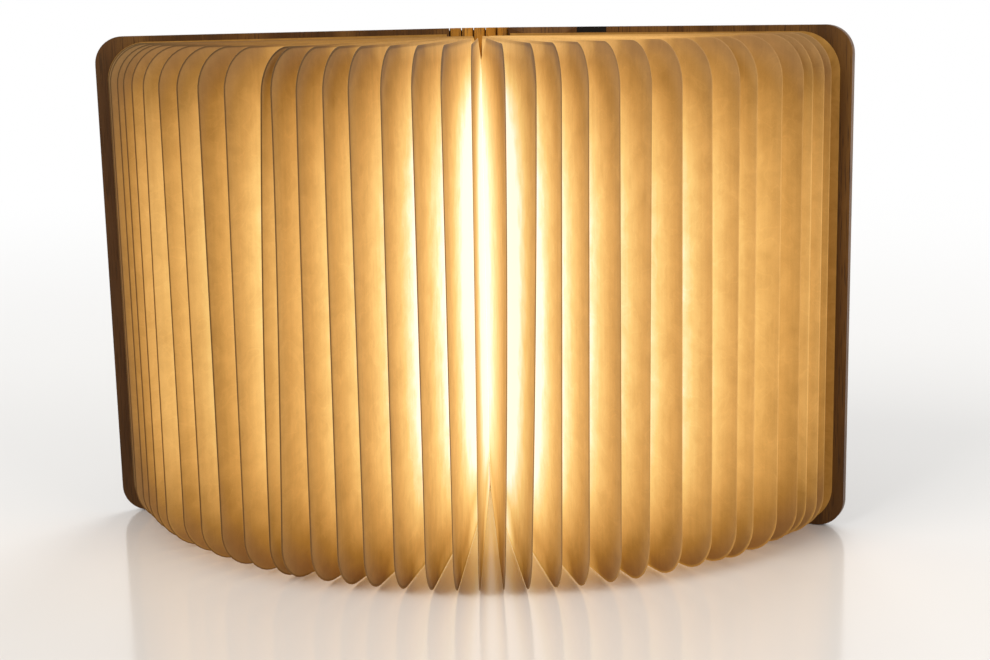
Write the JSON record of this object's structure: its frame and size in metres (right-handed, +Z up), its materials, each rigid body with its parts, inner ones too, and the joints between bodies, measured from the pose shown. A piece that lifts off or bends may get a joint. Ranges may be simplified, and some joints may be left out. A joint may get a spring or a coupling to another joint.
{
  "type": "folding book lamp",
  "caption": "Wooden book-shaped lamp whose covers open on a jointed slat spine and fan out glowing paper pages.",
  "frame": {"origin": "centre of the middle spine slat's foot, on the surface it stands on", "axes": "+Z up along the spine, +X to the right cover, pages open towards -Y"},
  "size_m": [0.3266, 0.1615, 0.215],
  "materials": {
    "cover_wood": "satin oiled walnut veneer",
    "slat_wood": "satin oiled wood",
    "page_paper": "mottled spun-bonded sheet, translucent",
    "end_sheet_paper": "mottled spun-bonded sheet",
    "hinge_film": "matt laminated film",
    "magnet": "nickel plated",
    "battery_foil": "foil pouch",
    "board_green": "solder mask",
    "board_white": "white solder mask",
    "led_chip": "phosphor resin",
    "diffuser_plastic": "opal translucent",
    "socket_metal": "plated shell",
    "bezel_plastic": "matt black",
    "sensor_glass": "clear tube"
  },
  "bodies": {
    "spine": {"slat_3": "slat_wood", "hinge_film_3": "hinge_film", "hinge_film_4": "hinge_film", "led_board": "board_white", "leds": "led_chip", "light_diffuser": "diffuser_plastic"},
    "inner_slat_right": {"slat_4": "slat_wood", "hinge_film_5": "hinge_film", "leaf_right_06": "page_paper"},
    "outer_slat_right": {"slat_5": "slat_wood", "hinge_film_6": "hinge_film", "leaf_right_12": "page_paper"},
    "cover_right_board": {"cover_right": "cover_wood", "end_sheet_right": "end_sheet_paper", "latch_magnets_right": "magnet", "battery": "battery_foil", "pocket_lid": "cover_wood", "controller_board": "board_green", "charging_socket": "socket_metal", "socket_bezel": "bezel_plastic", "reed_sensor": "sensor_glass"},
    "page_right_01": {"leaf_right_01": "page_paper"},
    "page_right_02": {"leaf_right_02": "page_paper"},
    "page_right_03": {"leaf_right_03": "page_paper"},
    "page_right_04": {"leaf_right_04": "page_paper"},
    "page_right_05": {"leaf_right_05": "page_paper"},
    "page_right_07": {"leaf_right_07": "page_paper"},
    "page_right_08": {"leaf_right_08": "page_paper"},
    "page_right_09": {"leaf_right_09": "page_paper"},
    "page_right_10": {"leaf_right_10": "page_paper"},
    "page_right_11": {"leaf_right_11": "page_paper"},
    "page_right_13": {"leaf_right_13": "page_paper"},
    "page_right_14": {"leaf_right_14": "page_paper"},
    "page_right_15": {"leaf_right_15": "page_paper"},
    "page_right_16": {"leaf_right_16": "page_paper"},
    "page_right_17": {"leaf_right_17": "page_paper"},
    "inner_slat_left": {"slat_2": "slat_wood", "hinge_film_2": "hinge_film", "leaf_left_07": "page_paper"},
    "outer_slat_left": {"slat_1": "slat_wood", "hinge_film_1": "hinge_film", "leaf_left_12": "page_paper"},
    "cover_left_board": {"cover_left": "cover_wood", "end_sheet_left": "end_sheet_paper", "latch_magnets_left": "magnet"},
    "page_left_01": {"leaf_left_01": "page_paper"},
    "page_left_02": {"leaf_left_02": "page_paper"},
    "page_left_03": {"leaf_left_03": "page_paper"},
    "page_left_04": {"leaf_left_04": "page_paper"},
    "page_left_05": {"leaf_left_05": "page_paper"},
    "page_left_06": {"leaf_left_06": "page_paper"},
    "page_left_08": {"leaf_left_08": "page_paper"},
    "page_left_09": {"leaf_left_09": "page_paper"},
    "page_left_10": {"leaf_left_10": "page_paper"},
    "page_left_11": {"leaf_left_11": "page_paper"},
    "page_left_13": {"leaf_left_13": "page_paper"},
    "page_left_14": {"leaf_left_14": "page_paper"},
    "page_left_15": {"leaf_left_15": "page_paper"},
    "page_left_16": {"leaf_left_16": "page_paper"},
    "page_left_17": {"leaf_left_17": "page_paper"}
  },
  "joints": [
    {"name": "inner_slat_right_hinge", "type": "hinge", "parent": "spine", "child": "inner_slat_right", "pos_m": [0.00275, 0, 0.1], "axis": [0, 0, -1], "range_deg": [-37, 23.9]},
    {"name": "outer_slat_right_hinge", "type": "hinge", "parent": "inner_slat_right", "child": "outer_slat_right", "pos_m": [0.00822, -0.00058, 0.1], "axis": [0, 0, -1], "range_deg": [-37.01, 23.91]},
    {"name": "cover_right_hinge", "type": "hinge", "parent": "outer_slat_right", "child": "cover_right_board", "pos_m": [0.01359, -0.00175, 0.1], "axis": [0, 0, -1], "range_deg": [-37.01, 23.91]},
    {"name": "page_right_01_turn", "type": "hinge", "parent": "spine", "child": "page_right_01", "pos_m": [0.00023, -0.00449, 0.1], "axis": [0, 0, -1], "range_deg": [-4.7, 3.04]},
    {"name": "page_right_02_turn", "type": "hinge", "parent": "spine", "child": "page_right_02", "pos_m": [0.0007, -0.00448, 0.1], "axis": [0, 0, -1], "range_deg": [-11.16, 7.21]},
    {"name": "page_right_03_turn", "type": "hinge", "parent": "spine", "child": "page_right_03", "pos_m": [0.00116, -0.00446, 0.1], "axis": [0, 0, -1], "range_deg": [-17.62, 11.39]},
    {"name": "page_right_04_turn", "type": "hinge", "parent": "spine", "child": "page_right_04", "pos_m": [0.00162, -0.00442, 0.1], "axis": [0, 0, -1], "range_deg": [-24.08, 15.56]},
    {"name": "page_right_05_turn", "type": "hinge", "parent": "spine", "child": "page_right_05", "pos_m": [0.00209, -0.00437, 0.1], "axis": [0, 0, -1], "range_deg": [-30.55, 19.74]},
    {"name": "page_right_07_turn", "type": "hinge", "parent": "inner_slat_right", "child": "page_right_07", "pos_m": [0.00484, -0.00407, 0.1], "axis": [0, 0, -1], "range_deg": [-6.36, 4.11]},
    {"name": "page_right_08_turn", "type": "hinge", "parent": "inner_slat_right", "child": "page_right_08", "pos_m": [0.00523, -0.0038, 0.1], "axis": [0, 0, -1], "range_deg": [-12.71, 8.22]},
    {"name": "page_right_09_turn", "type": "hinge", "parent": "inner_slat_right", "child": "page_right_09", "pos_m": [0.00559, -0.00347, 0.1], "axis": [0, 0, -1], "range_deg": [-19.07, 12.32]},
    {"name": "page_right_10_turn", "type": "hinge", "parent": "inner_slat_right", "child": "page_right_10", "pos_m": [0.00593, -0.00309, 0.1], "axis": [0, 0, -1], "range_deg": [-25.42, 16.42]},
    {"name": "page_right_11_turn", "type": "hinge", "parent": "inner_slat_right", "child": "page_right_11", "pos_m": [0.00624, -0.00266, 0.1], "axis": [0, 0, -1], "range_deg": [-32.57, 21.04]},
    {"name": "page_right_13_turn", "type": "hinge", "parent": "outer_slat_right", "child": "page_right_13", "pos_m": [0.01012, -0.00463, 0.1], "axis": [0, 0, -1], "range_deg": [-8.64, 5.59]},
    {"name": "page_right_14_turn", "type": "hinge", "parent": "outer_slat_right", "child": "page_right_14", "pos_m": [0.01033, -0.0042, 0.1], "axis": [0, 0, -1], "range_deg": [-17.28, 11.16]},
    {"name": "page_right_15_turn", "type": "hinge", "parent": "outer_slat_right", "child": "page_right_15", "pos_m": [0.01048, -0.0037, 0.1], "axis": [0, 0, -1], "range_deg": [-21.59, 13.95]},
    {"name": "page_right_16_turn", "type": "hinge", "parent": "cover_right_board", "child": "page_right_16", "pos_m": [0.01548, -0.00561, 0.1], "axis": [0, 0, -1], "range_deg": [-7.18, 11.11]},
    {"name": "page_right_17_turn", "type": "hinge", "parent": "cover_right_board", "child": "page_right_17", "pos_m": [0.01752, -0.0058, 0.1], "axis": [0, 0, -1], "range_deg": [-4.39, 6.79]},
    {"name": "inner_slat_left_hinge", "type": "hinge", "parent": "spine", "child": "inner_slat_left", "pos_m": [-0.00275, 0, 0.1], "axis": [0, 0, 1], "range_deg": [-37, 23.9]},
    {"name": "outer_slat_left_hinge", "type": "hinge", "parent": "inner_slat_left", "child": "outer_slat_left", "pos_m": [-0.00822, -0.00058, 0.1], "axis": [0, 0, 1], "range_deg": [-37.01, 23.91]},
    {"name": "cover_left_hinge", "type": "hinge", "parent": "outer_slat_left", "child": "cover_left_board", "pos_m": [-0.01359, -0.00175, 0.1], "axis": [0, 0, 1], "range_deg": [-37.01, 23.91]},
    {"name": "page_left_01_turn", "type": "hinge", "parent": "spine", "child": "page_left_01", "pos_m": [-0.00023, -0.00449, 0.1], "axis": [0, 0, 1], "range_deg": [-1.24, 0.81]},
    {"name": "page_left_02_turn", "type": "hinge", "parent": "spine", "child": "page_left_02", "pos_m": [-0.0007, -0.00448, 0.1], "axis": [0, 0, 1], "range_deg": [-8.03, 5.19]},
    {"name": "page_left_03_turn", "type": "hinge", "parent": "spine", "child": "page_left_03", "pos_m": [-0.00116, -0.00446, 0.1], "axis": [0, 0, 1], "range_deg": [-14.81, 9.57]},
    {"name": "page_left_04_turn", "type": "hinge", "parent": "spine", "child": "page_left_04", "pos_m": [-0.00162, -0.00442, 0.1], "axis": [0, 0, 1], "range_deg": [-21.1, 13.63]},
    {"name": "page_left_05_turn", "type": "hinge", "parent": "spine", "child": "page_left_05", "pos_m": [-0.00209, -0.00437, 0.1], "axis": [0, 0, 1], "range_deg": [-27.39, 17.7]},
    {"name": "page_left_06_turn", "type": "hinge", "parent": "inner_slat_left", "child": "page_left_06", "pos_m": [-0.00443, -0.00428, 0.1], "axis": [0, 0, 1], "range_deg": [-3.83, 5.93]},
    {"name": "page_left_08_turn", "type": "hinge", "parent": "inner_slat_left", "child": "page_left_08", "pos_m": [-0.00523, -0.0038, 0.1], "axis": [0, 0, 1], "range_deg": [-7.41, 4.79]},
    {"name": "page_left_09_turn", "type": "hinge", "parent": "inner_slat_left", "child": "page_left_09", "pos_m": [-0.00559, -0.00347, 0.1], "axis": [0, 0, 1], "range_deg": [-14.81, 9.57]},
    {"name": "page_left_10_turn", "type": "hinge", "parent": "inner_slat_left", "child": "page_left_10", "pos_m": [-0.00593, -0.00309, 0.1], "axis": [0, 0, 1], "range_deg": [-22.21, 14.35]},
    {"name": "page_left_11_turn", "type": "hinge", "parent": "inner_slat_left", "child": "page_left_11", "pos_m": [-0.00624, -0.00266, 0.1], "axis": [0, 0, 1], "range_deg": [-29.61, 19.13]},
    {"name": "page_left_13_turn", "type": "hinge", "parent": "outer_slat_left", "child": "page_left_13", "pos_m": [-0.01012, -0.00463, 0.1], "axis": [0, 0, 1], "range_deg": [-6.05, 3.91]},
    {"name": "page_left_14_turn", "type": "hinge", "parent": "outer_slat_left", "child": "page_left_14", "pos_m": [-0.01033, -0.0042, 0.1], "axis": [0, 0, 1], "range_deg": [-12.1, 7.82]},
    {"name": "page_left_15_turn", "type": "hinge", "parent": "outer_slat_left", "child": "page_left_15", "pos_m": [-0.01048, -0.0037, 0.1], "axis": [0, 0, 1], "range_deg": [-18.14, 11.72]},
    {"name": "page_left_16_turn", "type": "hinge", "parent": "cover_left_board", "child": "page_left_16", "pos_m": [-0.01548, -0.00561, 0.1], "axis": [0, 0, 1], "range_deg": [-8.3, 12.84]},
    {"name": "page_left_17_turn", "type": "hinge", "parent": "cover_left_board", "child": "page_left_17", "pos_m": [-0.01752, -0.0058, 0.1], "axis": [0, 0, 1], "range_deg": [-4.39, 6.79]}
  ],
  "couplings": [
    {"joint": "outer_slat_right_hinge", "follows": "inner_slat_right_hinge", "ratio": 1},
    {"joint": "cover_right_hinge", "follows": "inner_slat_right_hinge", "ratio": 1},
    {"joint": "page_right_01_turn", "follows": "inner_slat_right_hinge", "ratio": 0.12667},
    {"joint": "page_right_02_turn", "follows": "inner_slat_right_hinge", "ratio": 0.30133},
    {"joint": "page_right_03_turn", "follows": "inner_slat_right_hinge", "ratio": 0.476},
    {"joint": "page_right_04_turn", "follows": "inner_slat_right_hinge", "ratio": 0.65067},
    {"joint": "page_right_05_turn", "follows": "inner_slat_right_hinge", "ratio": 0.82533},
    {"joint": "page_right_07_turn", "follows": "inner_slat_right_hinge", "ratio": 0.17167},
    {"joint": "page_right_08_turn", "follows": "inner_slat_right_hinge", "ratio": 0.34333},
    {"joint": "page_right_09_turn", "follows": "inner_slat_right_hinge", "ratio": 0.515},
    {"joint": "page_right_10_turn", "follows": "inner_slat_right_hinge", "ratio": 0.68667},
    {"joint": "page_right_11_turn", "follows": "inner_slat_right_hinge", "ratio": 0.88},
    {"joint": "page_right_13_turn", "follows": "inner_slat_right_hinge", "ratio": 0.23333},
    {"joint": "page_right_14_turn", "follows": "inner_slat_right_hinge", "ratio": 0.46667},
    {"joint": "page_right_15_turn", "follows": "inner_slat_right_hinge", "ratio": 0.58333},
    {"joint": "page_right_16_turn", "follows": "inner_slat_right_hinge", "ratio": -0.3},
    {"joint": "page_right_17_turn", "follows": "inner_slat_right_hinge", "ratio": -0.18333},
    {"joint": "outer_slat_left_hinge", "follows": "inner_slat_left_hinge", "ratio": 1},
    {"joint": "cover_left_hinge", "follows": "inner_slat_left_hinge", "ratio": 1},
    {"joint": "page_left_01_turn", "follows": "inner_slat_left_hinge", "ratio": 0.033333},
    {"joint": "page_left_02_turn", "follows": "inner_slat_left_hinge", "ratio": 0.21667},
    {"joint": "page_left_03_turn", "follows": "inner_slat_left_hinge", "ratio": 0.4},
    {"joint": "page_left_04_turn", "follows": "inner_slat_left_hinge", "ratio": 0.57},
    {"joint": "page_left_05_turn", "follows": "inner_slat_left_hinge", "ratio": 0.74},
    {"joint": "page_left_06_turn", "follows": "inner_slat_left_hinge", "ratio": -0.16},
    {"joint": "page_left_08_turn", "follows": "inner_slat_left_hinge", "ratio": 0.2},
    {"joint": "page_left_09_turn", "follows": "inner_slat_left_hinge", "ratio": 0.4},
    {"joint": "page_left_10_turn", "follows": "inner_slat_left_hinge", "ratio": 0.6},
    {"joint": "page_left_11_turn", "follows": "inner_slat_left_hinge", "ratio": 0.8},
    {"joint": "page_left_13_turn", "follows": "inner_slat_left_hinge", "ratio": 0.16333},
    {"joint": "page_left_14_turn", "follows": "inner_slat_left_hinge", "ratio": 0.32667},
    {"joint": "page_left_15_turn", "follows": "inner_slat_left_hinge", "ratio": 0.49},
    {"joint": "page_left_16_turn", "follows": "inner_slat_left_hinge", "ratio": -0.34667},
    {"joint": "page_left_17_turn", "follows": "inner_slat_left_hinge", "ratio": -0.18333}
  ]
}
